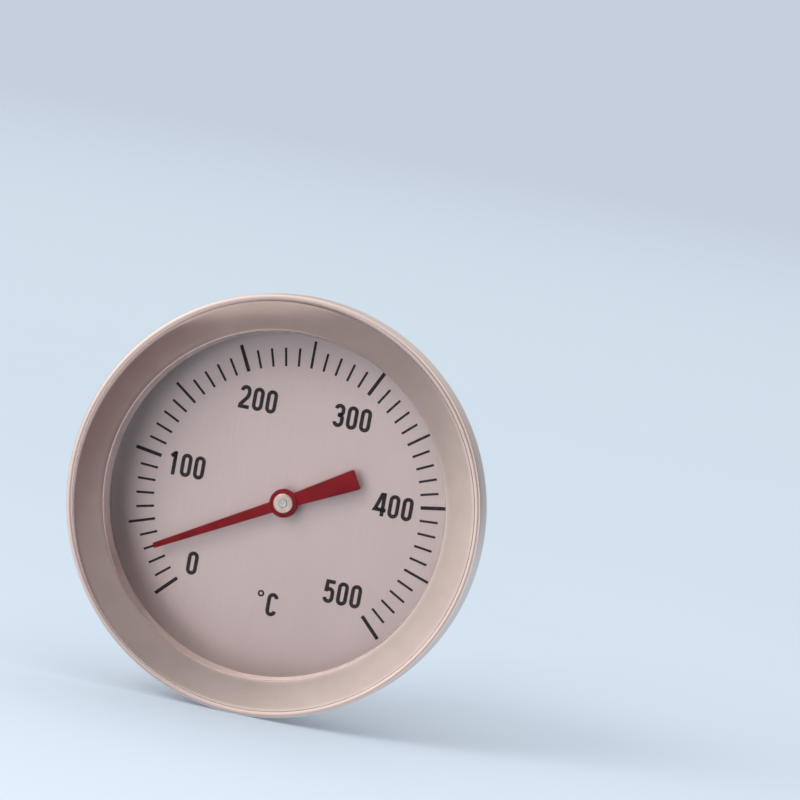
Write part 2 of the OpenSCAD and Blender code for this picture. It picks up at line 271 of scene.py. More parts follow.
front = ramp(
    tree, half_range(tree, towards(tree, -0.86, 0, 0.5)),
    (0.14, (0.8, 0.72, 0.7)), (0.29, (0.46, 0.38, 0.38)), (0.335, (0.24, 0.17, 0.18)),
    (0.385, (0.29, 0.22, 0.22)), (0.46, (0.4, 0.34, 0.34)), (0.575, (0.43, 0.38, 0.37)),
    (0.645, (0.64, 0.57, 0.55)), (0.715, (0.92, 0.83, 0.79)), (0.77, (1.05, 0.95, 0.9)),
    (1, (1.25, 1.12, 1.08)))
behind = ramp(
    tree, half_range(tree, towards(tree, 0, 0, 1)),
    (0, (0.5, 0.62, 0.72)), (0.44, (0.55, 0.66, 0.75)), (0.5, (0.2, 0.22, 0.25)),
    (0.56, (0.07, 0.06, 0.065)), (0.64, (0.12, 0.1, 0.1)), (0.72, (0.9, 0.74, 0.62)),
    (0.9, (0.95, 0.85, 0.78)), (1, (0.5, 0.42, 0.38)))
sides = ramp(
    tree, half_range(tree, towards(tree, 0, 0, 1)),
    (0, (0.6, 0.68, 0.74)), (0.35, (0.85, 0.85, 0.86)), (0.55, (1.1, 0.99, 0.97)),
    (1, (1.15, 1.02, 0.97)))
off_side = maths(tree, "ABSOLUTE", maths(tree, "SUBTRACT", towards(tree, 0, 1, 0), 0.08))
room = mix(tree, between(tree, towards(tree, 0, 1, 0), 0.0, 0.5), front, behind)
room = patch(room, (-0.04, -0.757, -0.652), 0.961, 0.976, (0.8, 0.68, 0.64))
room = mix(tree, between(tree, off_side, 0.32, 0.1), room, sides)
for aim, low, high, colour in (
        ((-0.85, 0.15, 0.5), 0.86, 0.97, (1.7, 1.55, 1.5)),
        ((0, 1, 0), 0.93, 0.975, (0.62, 0.66, 0.7)),
        ((-0.2, -0.975, -0.094), 0.972, 0.99, (1.25, 1.1, 1.08))):
    room = patch(room, aim, low, high, colour)
path = node(tree, "ShaderNodeLightPath")
seen = mix(tree, path.outputs["Is Glossy Ray"], (1.0, 0.965, 0.96), room)
seen = mix(tree, path.outputs["Is Transmission Ray"], seen, room)
seen = mix(tree, path.outputs["Is Camera Ray"], seen, PAPER)
background = node(tree, "ShaderNodeBackground", {"Color": seen, "Strength": 1.0})
node(tree, "ShaderNodeOutputWorld", {"Surface": background.outputs["Background"]})

KEY_AT = Vector((-0.45, -0.7, 0.5))
key_data = bpy.data.lights.new("key", "AREA")
key_data.shape, key_data.size, key_data.energy = "DISK", 0.55, 3.7
key_data.color = (1, 0.97, 0.94)
key = bpy.data.objects.new("key", key_data)
scene.collection.objects.link(key)
key.location = KEY_AT
key.rotation_mode = "QUATERNION"
key.rotation_quaternion = (dial_centre - KEY_AT).to_track_quat("-Z", "Y")
key.visible_glossy = False
print("key lamp", round(KEY_AT.length, 2), "m away")

# %% Lay the paper
PAPER_R, FADE_FROM, FADE_TO = 6, 1.4, 5.0


def clear_selection():
    """Leaves edit mode and deselects everything, as operators act on all that is selected."""
    if bpy.context.object and bpy.context.object.mode != "OBJECT":
        bpy.ops.object.mode_set(mode="OBJECT")
    bpy.ops.object.select_all(action="DESELECT")


clear_selection()
bpy.ops.mesh.primitive_circle_add(
    vertices=96, radius=PAPER_R, fill_type="NGON", location=(0, 0, -bezel_r * MM))
paper = bpy.context.object
paper.name = "paper"
paper.visible_glossy = False
sheet = bpy.data.materials.new("paper")
sheet.use_nodes = True
tree = sheet.node_tree
shader = tree.nodes["Principled BSDF"]
shader.inputs["Roughness"].default_value = 0.9
shader.inputs["Specular IOR Level"].default_value = 0.1
place = object_place(tree)
away = node(tree, "ShaderNodeVectorMath", {0: place}, operation="LENGTH").outputs["Value"]
grain = node(tree, "ShaderNodeTexNoise", {"Vector": place, "Scale": 2.5, "Detail": 3.0}).outputs["Fac"]
near = ramp(tree, grain, (0.3, linear(200, 217, 232)), (0.7, linear(207, 223, 237)))
tree.links.new(
    mix(tree, between(tree, away, 0.2, 1.2), near, linear(207, 225, 239)), shader.inputs["Base Color"])
clear = node(tree, "ShaderNodeBsdfTransparent").outputs["BSDF"]
faded = node(tree, "ShaderNodeMixShader", {
    0: between(tree, away, FADE_FROM, FADE_TO), 1: shader.outputs["BSDF"], 2: clear})
tree.links.new(faded.outputs["Shader"], tree.nodes["Material Output"].inputs["Surface"])
paper.data.materials.append(sheet)
paper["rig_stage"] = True
print("paper at", round(paper.location.z, 4), "m")

# %% [markdown]
# ## Helpers for round work
# Nearly every piece of this thermometer was turned or pressed round its
# axis. Each could be modelled from a cylinder with many inset rings, but it
# is simpler to draw half of its section as a wire and spin the wire round
# the axis, as a lathe or a spinning chuck does. A wire starts as a circle
# primitive with as many vertices as the section has points.

# %% Helpers for selecting and drawing wires
def take(piece):
    """Selects one piece alone and makes it active."""
    clear_selection()
    piece.select_set(True)
    bpy.context.view_layer.objects.active = piece


def pick(piece, kind, test):
    """Opens a piece in edit mode with only the elements selected that pass a test."""
    take(piece)
    mesh = piece.data
    for group in (mesh.vertices, mesh.edges, mesh.polygons):
        group.foreach_set("select", [False] * len(group))
    for item in {"VERT": mesh.vertices, "EDGE": mesh.edges, "FACE": mesh.polygons}[kind]:
        item.select = bool(test(item))
    bpy.context.tool_settings.mesh_select_mode = (kind == "VERT", kind == "EDGE", kind == "FACE")
    bpy.ops.object.mode_set(mode="EDIT")


def wire(name, points, closed=False):
    """Draws a wire through (across, along) points in millimetres, in the plane z = 0."""
    clear_selection()
    if len(points) == 2:
        points = [points[0], tuple((a + b) / 2 for a, b in zip(*points)), points[1]]
    bpy.ops.mesh.primitive_circle_add(vertices=len(points), radius=MM)
    piece = bpy.context.object
    piece.name = name
    for vertex, (across, along) in zip(piece.data.vertices, points):
        vertex.co = (across * MM, along * MM, 0)
    if not closed:
        ends = {0, len(points) - 1}
        pick(piece, "EDGE", lambda edge: set(edge.vertices) == ends)
        bpy.ops.mesh.delete(type="EDGE")
        bpy.ops.object.mode_set(mode="OBJECT")
    return piece


def arc(across, along, radius, start, end, steps=8):
    """Points of an arc, by angle in degrees from start to end."""
    wide, high = radius if isinstance(radius, tuple) else (radius, radius)
    turns = [math.radians(start + (end - start) * i / steps) for i in range(steps + 1)]
    return [(across + wide * math.cos(t), along + high * math.sin(t)) for t in turns]


def rounded(corners, steps=6):
    """Points of a line through (across, along, radius) corners, each rounded by its radius."""
    points = []
    for i, (x, y, radius) in enumerate(corners):
        corner = Vector((x, y))
        if radius == 0:
            points.append((x, y))
            continue
        before = (Vector(corners[i - 1][:2]) - corner).normalized()
        after = (Vector(corners[(i + 1) % len(corners)][:2]) - corner).normalized()
        half = before.angle(after) / 2
        centre = corner + (before + after).normalized() * radius / math.sin(half)
        start = corner + before * radius / math.tan(half) - centre
        turn = start.angle_signed(corner + after * radius / math.tan(half) - centre)
        for k in range(steps + 1):
            points.append(tuple(centre + Matrix.Rotation(-turn * k / steps, 2) @ start))
    return points


def spin(piece, steps=192):
    """Spins a wire once round the axis, joins the seam and turns the faces outwards."""
    take(piece)
    bpy.ops.object.mode_set(mode="EDIT")
    bpy.ops.mesh.select_all(action="SELECT")
    bpy.ops.mesh.spin(steps=steps, angle=math.tau, center=(0, 0, 0), axis=(0, 1, 0))
    bpy.ops.mesh.select_all(action="SELECT")
    bpy.ops.mesh.remove_doubles(threshold=MM / 500)
    bpy.ops.mesh.normals_make_consistent(inside=False)
    bpy.ops.object.mode_set(mode="OBJECT")
    return piece


def modify(piece, kind, **settings):
    """Adds a modifier and applies it."""
    take(piece)
    modifier = piece.modifiers.new(kind.title(), kind)
    for key, value in settings.items():
        setattr(modifier, key, value)
    bpy.ops.object.modifier_apply(modifier=modifier.name)
    return piece


corner_points = len(rounded([(0, 0, 0), (1, 0, 0.2), (1, 1, 0)])) - 2
print("a rounded corner has", corner_points, "points")

# %% Helper that finishes a piece
SHARP = 35


def volume(piece):
    """Signed volume in cubic millimetres: negative if the faces point inwards."""
    mesh = bmesh.new()
    mesh.from_mesh(piece.data)
    signed = mesh.calc_volume(signed=True) / MM ** 3
    mesh.free()
    return signed


def finish(piece, body, slot=None, nodes=(), sharp=SHARP):
    """Turns the faces outwards, smooths them and hands the piece to its body."""
    take(piece)
    bpy.ops.object.transform_apply(location=True, rotation=True, scale=True)
    if volume(piece) < 0:
        bpy.ops.object.mode_set(mode="EDIT")
        bpy.ops.mesh.select_all(action="SELECT")
        bpy.ops.mesh.flip_normals()
        bpy.ops.object.mode_set(mode="OBJECT")
    bpy.ops.object.shade_smooth_by_angle(angle=math.radians(sharp))
    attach(piece, body)
    if slot:
        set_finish(piece, slot)
    if nodes:
        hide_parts(*nodes)
    print(piece.name, "faces:", len(piece.data.polygons), "volume:", round(volume(piece)), "cubic mm")
    return piece


print("edges stay sharp from", SHARP, "degrees")

# %% [markdown]
# ## The bezel
# The front ring is rolled from thin steel. From the window outwards, a lip
# turns in to the glass, a broad and slightly hollow face rises to a crease, a
# small bead runs round the front edge, and the rear is curled in behind the
# case's flange. The tight bends draw the thin lines that make sheet metal
# look like sheet metal, so the section is drawn with all of them, both sides
# of the sheet, and spun. A Solidify modifier would be shorter, but it would
# fold over itself inside the tight bends.

# %% Draw the bezel's section
WINDOW_R, LIP_R, SHEET, BEAD_R, CREASE_TURN = 31.0, 31.4, 0.8, 0.6, 192
CURL_W, CURL_H, CURL_REACH = 2, 3.2, 2.5
FACE_RISE, FACE_CURVE = 0.158, 0.0093
glass_front = station("glass", 0)
bead = Vector((bezel_r - BEAD_R, bezel_front + BEAD_R))
crease = bead + BEAD_R * Vector((
    math.cos(math.radians(CREASE_TURN)), math.sin(math.radians(CREASE_TURN))))


def face_at(across):
    """Point of the slightly hollow face at a distance from the axis."""
    def rise(x):
        return FACE_RISE * x + FACE_CURVE * x * x
    return across, crease.y + rise(crease.x - LIP_R) - rise(across - LIP_R)


print("the face rises", round(face_at(LIP_R)[1] - crease.y, 2), "mm towards the bead")

# %% Roll the bezel
outside = (
    rounded([
        (WINDOW_R + SHEET, glass_front, 0), (WINDOW_R, glass_front, 0.05),
        (WINDOW_R, glass_front - 0.6, 0.3), (*face_at(LIP_R), 0.3), (*face_at(LIP_R + 0.9), 0)])
    + [face_at(LIP_R + 0.9 + 0.4 * i) for i in range(1, 11)]
    + [(crease.x - 0.08, crease.y + 0.015)]
    + arc(*bead, BEAD_R, CREASE_TURN + 6, 360, steps=18)
    + arc(bezel_r - CURL_W, bezel_rear - CURL_H, (CURL_W, CURL_H), 0, 90, steps=12)
    + [(bezel_r - CURL_REACH, bezel_rear)])
under = [(across, along + SHEET) for across, along in (face_at(bezel_r - 1.4), face_at(LIP_R + 0.8))]
inside = (
    [(bezel_r - CURL_REACH, bezel_rear - SHEET)]
    + arc(bezel_r - CURL_W, bezel_rear - CURL_H, (CURL_W - SHEET, CURL_H - SHEET), 90, 0)
    + rounded([
        (bezel_r - SHEET, bezel_rear - 3.4, 0), (bezel_r - SHEET, bezel_front + SHEET, 0.1),
        (*under[0], 0.1), (*under[1], 0.1), (WINDOW_R + SHEET, glass_front, 0)], steps=3)[:-1])
bezel = spin(wire("bezel", outside + inside, closed=True), steps=256)
finish(bezel, "case", "bezel_steel", ["bezel_ring"])

# %% [markdown]
# ## The case
# The cup behind the bezel is one pressing with two steps and a boss. Each
# step has a soft outer bend and a tight foot, and those bends carry the
# bright and dark lines of polished steel, so every corner is rounded by its
# own radius before the wire is spun. The flange bites 0.03 mm into the
# bezel's curl, so that the two never share a plane.

# %% Press the case
FLANGE_R, CASE_R, STEP_R, BOSS_R, STUD_HOLE_R = 36.6, 34.2, 28.3, 16.6, 6.05
FLANGE_AT, SHOULDER_AT, STEP_AT, SEAT_AT = -10.97, -4.4, -2.0, 0
case = spin(wire("case", rounded([
    (FLANGE_R, FLANGE_AT, 0), (CASE_R, FLANGE_AT, 0.4), (CASE_R, SHOULDER_AT, 1.9),
    (STEP_R, SHOULDER_AT, 0.4), (STEP_R, STEP_AT, 1.3), (BOSS_R, STEP_AT, 0.4),
    (BOSS_R, SEAT_AT, 1.2), (STUD_HOLE_R, SEAT_AT, 0)], steps=8)), steps=256)
modify(case, "SOLIDIFY", thickness=SHEET * MM, offset=1, use_even_offset=True)
finish(case, "case", "polished_steel", ["case_shell"])

# %% [markdown]
# ## The thread
# The stud has a right-hand thread of 1.75 mm pitch. A stack of rings would
# look like a thread from afar, but its ends would give it away. The Screw
# modifier instead winds one tooth's outline up the axis. The helix overhangs
# both ends, so its vertices are then drawn back to the end planes and held
# inside a chamfered envelope, which is what a die and a lathe tool do.

# %% Cut a thread
PITCH, CREST_R, ROOT_R, COLUMNS = 1.75, 6.0, 4.93, 96


def tooth(grow=0):
    """Outline of one pitch as (radius, along) points, larger in radius by grow."""
    root, crest = ROOT_R + grow, CREST_R + grow
    flank = (crest - root) * math.tan(math.radians(30))
    crest_w = PITCH / 8
    low, high = (PITCH - crest_w) / 2 - flank, (PITCH + crest_w) / 2 + flank
    return rounded([
        (root, 0, 0), (root, low, 0.12), (crest, low + flank, 0.05),
        (crest, high - flank, 0.05), (root, high, 0.12), (root, PITCH, 0)], steps=3)


def height_in(points, along):
    """Radius of an outline at a place along it."""
    for (r0, y0), (r1, y1) in zip(points, points[1:]):
        if y0 <= along <= y1:
            return r0 + (r1 - r0) * (along - y0) / (y1 - y0) if y1 > y0 else r1
    return points[-1][0]


def thread(name, first, last, envelope, grow=0):
    """Winds a thread's skin between two stations, held by an envelope of radius over station."""
    points = tooth(grow)
    start = math.floor(first / PITCH) - 1
    turns = math.ceil(last / PITCH) + 1 - start
    skin = wire(name, [(r, y + start * PITCH) for r, y in points])
    modify(skin, "SCREW", axis="Y", angle=math.tau, screw_offset=PITCH * MM, iterations=turns,
           steps=COLUMNS, render_steps=COLUMNS, use_merge_vertices=True, merge_threshold=MM / 500)
    for vertex in skin.data.vertices:
        x, y, z = (v / MM for v in vertex.co)
        turn = math.atan2(-z, x)
        held = min(max(y, first), last)
        if held != y:
            radius = height_in(points, (held - turn / math.tau * PITCH) % PITCH)
        else:
            radius = math.hypot(x, z)
        radius = envelope(radius, held)
        vertex.co = Vector((radius * math.cos(turn), held, -radius * math.sin(turn))) * MM
    take(skin)
    bpy.ops.object.mode_set(mode="EDIT")
    bpy.ops.mesh.select_all(action="SELECT")
    bpy.ops.mesh.remove_doubles(threshold=MM / 500)
    bpy.ops.object.mode_set(mode="OBJECT")
    return skin


print("points in a tooth's outline:", len(tooth()))

# %% [markdown]
# ## The threaded stud
# The stud is hollow: the thread ends in a chamfer, the mouth is bored wide
# and the bore behind it grips the stem. The thread's skin is open at both
# ends with a plain round edge, so each end is extruded and scaled from step
# to step, into the mouth and over the head, and the two are bridged.

# %% Turn the stud
def step_to(radius, new_radius, move=0.0):
    """Extrudes the selected round edge, moves it along and scales it to a new radius."""
    bpy.ops.mesh.extrude_edges_move(TRANSFORM_OT_translate={"value": (0, move * MM, 0)})
    if new_radius != radius:
        scale = new_radius / radius
        bpy.ops.transform.resize(value=(scale, 1, scale), center_override=(0, 0, 0))


def rim(piece, along, radius=None):
    """Picks the round edge at a station, and at a radius where one is given."""
    def on_rim(edge):
        spots = [piece.data.vertices[i].co / MM for i in edge.vertices]
        return all(abs(p.y - along) < 1e-3 for p in spots) and (
            radius is None or all(abs(math.hypot(p.x, p.z) - radius) < 0.01 for p in spots))
    pick(piece, "EDGE", on_rim)


head_front = station("threaded_stud", 0)
HEAD_R, HEAD_T, CHAMFER, BORE_R = 11, 1.5, 1.1, 3.57
MOUTH_R, MOUTH_EDGE, MOUTH_DEPTH = 4.4, 0.1, 6.0
head_rear = head_front + HEAD_T


def stud_envelope(radius, along):
    """Holds the thread inside the end's chamfer and lets it run out at the head."""
    end = CREST_R - CHAMFER + (stud_end - along)
    return min(radius, end, ROOT_R + max(0.0, along - head_rear))


stud = thread("stud", head_rear, stud_end, stud_envelope)
rim(stud, stud_end)
step_to(CREST_R - CHAMFER, MOUTH_R + MOUTH_EDGE)
step_to(MOUTH_R + MOUTH_EDGE, MOUTH_R, -MOUTH_EDGE)
step_to(MOUTH_R, MOUTH_R, MOUTH_EDGE - MOUTH_DEPTH)
step_to(MOUTH_R, BORE_R)
rim(stud, head_rear)
step_to(ROOT_R, HEAD_R)
step_to(HEAD_R, HEAD_R, head_front - head_rear)
step_to(HEAD_R, BORE_R)
bpy.ops.mesh.select_all(action="DESELECT")
bpy.ops.mesh.select_non_manifold(extend=False, use_wire=False, use_boundary=True,
                                 use_multi_face=False, use_non_contiguous=False, use_verts=False)
bpy.ops.mesh.bridge_edge_loops()
bpy.ops.mesh.select_all(action="SELECT")
bpy.ops.mesh.normals_make_consistent(inside=False)
bpy.ops.object.mode_set(mode="OBJECT")
finish(stud, "case", "stud_steel", ["threaded_stud"], sharp=50)

# %% [markdown]
# ## The nut
# The nut is a hexagon with both faces chamfered by a cone, so each flat ends
# in a shallow arc. A hexagon is intersected with a turned blank to get those
# arcs, its edges are broken by a fine bevel, and a thread a little larger
# than the stud's is cut out of it, widened at both mouths.

# %% Make the nut
NUT_FLATS, NUT_CHAMFER, NUT_GAP = 18, 1.0, 0.05
corner_r = NUT_FLATS / 2 / math.cos(math.pi / 6)
nut_h = nut_rear - nut_front
face_r = NUT_FLATS / 2 - NUT_GAP
clear_selection()
bpy.ops.mesh.primitive_cylinder_add(
    vertices=6, radius=corner_r * MM, depth=nut_h * MM,
    location=(0, (nut_front + nut_rear) / 2 * MM, 0), rotation=(math.pi / 2, 0, 0))
nut = bpy.context.object
nut.name = "nut"
bpy.ops.object.transform_apply(location=True, rotation=True, scale=True)


def nut_turn():
    """Angle by which the hexagon's corners stand away from the construction node's."""
    def corner_turn(shape):
        corner = max(shape.data.vertices, key=lambda v: math.hypot(v.co.x, v.co.z)).co
        return math.atan2(corner.x, corner.z)
    return corner_turn(frame["nodes"]["hex_nut"]) - corner_turn(nut)


nut.data.transform(Matrix.Rotation(nut_turn(), 4, "Y"))
blank = spin(wire("blank", [
    (0, nut_front - 0.01), (face_r, nut_front - 0.01), (corner_r + 0.01, nut_front + NUT_CHAMFER),
    (corner_r + 0.01, nut_rear - NUT_CHAMFER), (face_r, nut_rear + 0.01), (0, nut_rear + 0.01)]))


def combine(piece, tool, how):
    """Applies a Boolean with another piece, which is then thrown away."""
    modify(piece, "BOOLEAN", operation=how, object=tool, solver="EXACT")
    bpy.data.objects.remove(tool)
    return piece


combine(nut, blank, "INTERSECT")
modify(nut, "BEVEL", width=0.12 * MM, segments=2, limit_method="ANGLE", angle_limit=math.radians(20))


def tap_envelope(radius, along):
    """Opens the tapped hole like a countersink at both faces."""
    depth = min(along - nut_front, nut_rear - along)
    return max(radius, CREST_R + 0.55 - depth)


tap_ends = nut_front - 0.3, nut_rear + 0.3
tap = thread("tap", *tap_ends, tap_envelope, grow=NUT_GAP)
for end in tap_ends:
    rim(tap, end)
    bpy.ops.mesh.edge_face_add()
bpy.ops.mesh.select_all(action="SELECT")
bpy.ops.mesh.normals_make_consistent(inside=False)
bpy.ops.object.mode_set(mode="OBJECT")
combine(nut, tap, "DIFFERENCE")
finish(nut, "nut", "nut_steel", ["hex_nut"], sharp=28)

# %% [markdown]
# ## The flat washer
# The washer is punched from sheet, so one rim is rolled over softly by the
# die and the other is left sharper. Its section is drawn with a different
# radius at each corner and spun.

# %% Punch the washer
washer_front, washer_rear = station("flat_washer", 0), station("flat_washer", 1)
washer_r, hole_r = reach("flat_washer"), CREST_R + 0.5
washer = spin(wire("washer", rounded([
    (hole_r, washer_front, 0.1), (washer_r, washer_front, 0.15),
    (washer_r, washer_rear, 0.35), (hole_r, washer_rear, 0.25)], steps=5), closed=True))
finish(washer, "washer", "washer_steel", ["flat_washer"])

# %% [markdown]
# ## The stem
# The stem is a thin tube with a solid end, both ground to one diameter, and
# a pin crosses it near the tip. Where the tube goes into the stud it is
# turned down a little. The tube and the end are spun, and the pin's hole is
# cut through both with a slightly larger cylinder, so a dark line is left
# round the pin.

# %% Draw the tube, the end and the pin
tube_rear, tip = station("stem_tube", 1), station("stem_cap", 1)
tube_front = station("stem_tube", 0)
STEM_R, SEAT_R, INNER_R, SHOULDER = 3.75, 3.55, 3.15, stud_end + 0.3
tube = spin(wire("tube", [
    (INNER_R, tube_front), (SEAT_R, tube_front), (SEAT_R, SHOULDER), (STEM_R - 0.05, SHOULDER),
    (STEM_R, SHOULDER + 0.1), (STEM_R, tube_rear), (INNER_R, tube_rear)], closed=True), steps=128)
plug_front = station("stem_cap", 0)
cap = spin(wire("cap", [
    (0, plug_front), (INNER_R - 0.02, plug_front), (INNER_R - 0.02, tube_rear), (STEM_R, tube_rear)]
    + arc(STEM_R - 0.6, tip - 0.6, 0.6, 0, 90) + [(0, tip)]), steps=128)
pin_low, pin_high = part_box("anchor_pin")
pin_at, pin_r = (pin_low + pin_high) / 2 / MM, (pin_high.z - pin_low.z) / 2 / MM
pin_long = 2 * pin_high.x / MM


def cross_cylinder(name, radius, length):
    """Cylinder across the stem at the pin's station."""
    clear_selection()
    bpy.ops.mesh.primitive_cylinder_add(
        vertices=48, radius=radius * MM, depth=length * MM,
        location=pin_at * MM, rotation=(0, math.pi / 2, 0))
    made = bpy.context.object
    made.name = name
    bpy.ops.object.transform_apply(location=True, rotation=True, scale=True)
    return made


for piece in (tube, cap):
    combine(piece, cross_cylinder("drill", pin_r + 0.07, 3 * STEM_R), "DIFFERENCE")
pin = cross_cylinder("pin", pin_r, pin_long)
for side in (-1, 1):
    pick(pin, "FACE", lambda face: face.normal.x * side > 0.9)
    for border, sink in ((0.16, 0.1), (0.3, 0.06)):
        bpy.ops.mesh.inset(thickness=border * MM)
        bpy.ops.transform.translate(value=(-side * sink * MM, 0, 0))
    bpy.ops.object.mode_set(mode="OBJECT")
modify(pin, "BEVEL", width=0.05 * MM, segments=2, limit_method="ANGLE", angle_limit=math.radians(25))
finish(tube, "case", "stem_steel", ["stem_tube"])
finish(cap, "case", "stem_steel", ["stem_cap"])
finish(pin, "case", "stem_steel", ["anchor_pin"])

# %% [markdown]
# ## The pointer
# The pointer is stamped from sheet and painted red. Its flat arm is drawn as
# an outline, filled and extruded, a raised ring is joined to it round the
# axis, and the stamped edges are rounded by the paint. It is drawn at twelve
# o'clock and then turned to the temperature it shows.

# %% Stamp the pointer
SHOWN, SCALE_MAX, SCALE_SWEEP = 30, 500, 270
ARM_R, TAIL_R, ARM_W, TIP_W, TAIL_W = 25.5, 14.3, 1.05, 0.5, 1.9
RING_R, RING_RISE, POINTER_HOLE_R = 2.6, 0.18, 1.32


def dial_turn(value):
    """Angle of a temperature on the dial, from twelve o'clock."""
    return math.radians(-SCALE_SWEEP / 2 + SCALE_SWEEP * value / SCALE_MAX)


def plate(name, outline, front, rear):
    """Fills an outline of (across, up) points and extrudes it along the axis."""
    piece = wire(name, outline, closed=True)
    take(piece)
    piece.data.transform(Matrix.Rotation(math.pi / 2, 4, "X"))
    bpy.ops.object.mode_set(mode="EDIT")
    bpy.ops.mesh.select_all(action="SELECT")
    bpy.ops.mesh.edge_face_add()
    bpy.ops.transform.translate(value=(0, front * MM, 0))
    bpy.ops.mesh.extrude_region_move(TRANSFORM_OT_translate={"value": (0, (rear - front) * MM, 0)})
    bpy.ops.mesh.select_all(action="SELECT")
    bpy.ops.mesh.normals_make_consistent(inside=False)
    bpy.ops.object.mode_set(mode="OBJECT")
    return piece


pointer = plate("pointer_blade", rounded([
    (ARM_W, 0, 0), (TIP_W, ARM_R, 0.12), (-TIP_W, ARM_R, 0.12), (-ARM_W, 0, 0),
    (-TAIL_W, -TAIL_R, 0.35), (TAIL_W, -TAIL_R, 0.35)], steps=4), pointer_front, pointer_rear)
ring = spin(wire("ring", rounded([
    (0, pointer_front - RING_RISE, 0), (RING_R, pointer_front - RING_RISE, 0.15),
    (RING_R, pointer_rear + 0.1, 0.1), (0, pointer_rear + 0.1, 0)], steps=4)), steps=96)
combine(pointer, ring, "UNION")
modify(pointer, "BEVEL", width=0.09 * MM, segments=3,
       limit_method="ANGLE", angle_limit=math.radians(SHARP))
bore = spin(wire("bore", [
    (0, pointer_front - 2), (POINTER_HOLE_R, pointer_front - 2),
    (POINTER_HOLE_R, pointer_rear + 2), (0, pointer_rear + 2)]), steps=96)
combine(pointer, bore, "DIFFERENCE")
pointer.data.transform(Matrix.Rotation(dial_turn(SHOWN), 4, "Y"))
finish(pointer, "pointer_set", "red_paint", ["pointer"])

# %% [markdown]
# ## The hub and the spindle's nose
# The hub is a small turned rivet that holds the pointer on the spindle. Its
# head has a soft rim, and the spindle's nose in its middle is upset by a few
# punch marks that hold the two together. The marks are pressed into a spun
# nose by lowering the vertices round each of them.

# %% Turn the hub and stake the spindle
hub_front, hub_rear = station("pointer_hub", 0), station("pointer_hub", 1)
NOSE_R, HUB_R, SHANK_R = 0.75, 1.8, 1.3
hub_top, ring_top = hub_front - 0.16, pointer_front - RING_RISE
hub = spin(wire("hub", rounded([
    (NOSE_R + 0.02, hub_top, 0.05), (HUB_R, hub_top, 0.2), (HUB_R, ring_top, 0.04),
    (SHANK_R, ring_top, 0.02), (SHANK_R, hub_rear, 0.1), (NOSE_R + 0.02, hub_rear, 0.05)],
    steps=5), closed=True), steps=128)
finish(hub, "pointer_set", "hub_metal", ["pointer_hub"])
nose_front, spindle_rear = station("spindle", 0), station("spindle", 1)
rings = [(NOSE_R - 0.03 * i, nose_front - 0.15 + 0.03 * (1 - i / 25)) for i in range(25, 1, -1)]
spindle = spin(wire("spindle_shaft", [(0, nose_front - 0.15)] + rings + [
    (NOSE_R, nose_front + 0.02), (NOSE_R, spindle_rear), (0, spindle_rear)]), steps=96)
MARKS = (
    (0.16, 0.2, 0.24), (-0.2, 0.05, 0.2), (0.05, -0.22, 0.22),
    (0.3, -0.08, 0.14), (-0.12, 0.36, 0.13))
for vertex in spindle.data.vertices:
    if vertex.co.y / MM < nose_front - 0.05:
        for x, z, size in MARKS:
            gone = math.hypot(vertex.co.x / MM - x, vertex.co.z / MM - z) / size
            vertex.co.y += 0.1 * MM * max(0.0, 1 - gone ** 2)
finish(spindle, "pointer_set", "inner_steel", ["spindle"], sharp=40)

# %% [markdown]
# ## The dial's print
# Ticks, numbers and the unit sign are printed on the dial. Each stroke is a
# wire in the dial's plane. It is extruded by the ink's thickness, and
# Solidify makes it as wide as the stroke, with clean joints at every bend.
# Each shape is made once and copied, and each copy keeps its own mesh.

# %% Draw the strokes
INK_FRONT, INK_T = dial_front - 0.03, 0.025
prints = []


def stroke(name, points, width, closed=False):
    """One printed stroke through (across, up) points."""
    piece = wire(name, points, closed)
    take(piece)
    piece.data.transform(Matrix.Rotation(math.pi / 2, 4, "X"))
    bpy.ops.object.mode_set(mode="EDIT")
    bpy.ops.mesh.select_all(action="SELECT")
    bpy.ops.transform.translate(value=(0, INK_FRONT * MM, 0))
    bpy.ops.mesh.extrude_edges_move(TRANSFORM_OT_translate={"value": (0, INK_T * MM, 0)})
    bpy.ops.object.mode_set(mode="OBJECT")
    return modify(piece, "SOLIDIFY", thickness=width * MM, offset=0, use_even_offset=True)


def join(name, pieces):
    """Joins pieces into one."""
    clear_selection()
    for piece in pieces:
        piece.select_set(True)
    bpy.context.view_layer.objects.active = pieces[0]
    bpy.ops.object.join()
    pieces[0].name = name
    return pieces[0]


def stamp(piece, matrix):
    """Adds a copy of a printed shape, with its own mesh, to the dial."""
    copy = piece.copy()
    copy.data = piece.data.copy()
    bpy.context.scene.collection.objects.link(copy)
    copy.data.transform(matrix)
    prints.append(copy)


TICK_R = 24.75
ticks = {
    step: stroke(f"tick_{step}", [(0, TICK_R), (0, end_r)], width)
    for step, end_r, width in ((100, 29.75, 0.66), (50, 29.75, 0.48), (10, 28.1, 0.43))}
for value in range(0, SCALE_MAX + 1, 10):
    kind = next(step for step in ticks if value % step == 0)
    stamp(ticks[kind], Matrix.Rotation(dial_turn(value), 4, "Y"))
print("ticks:", len(prints))

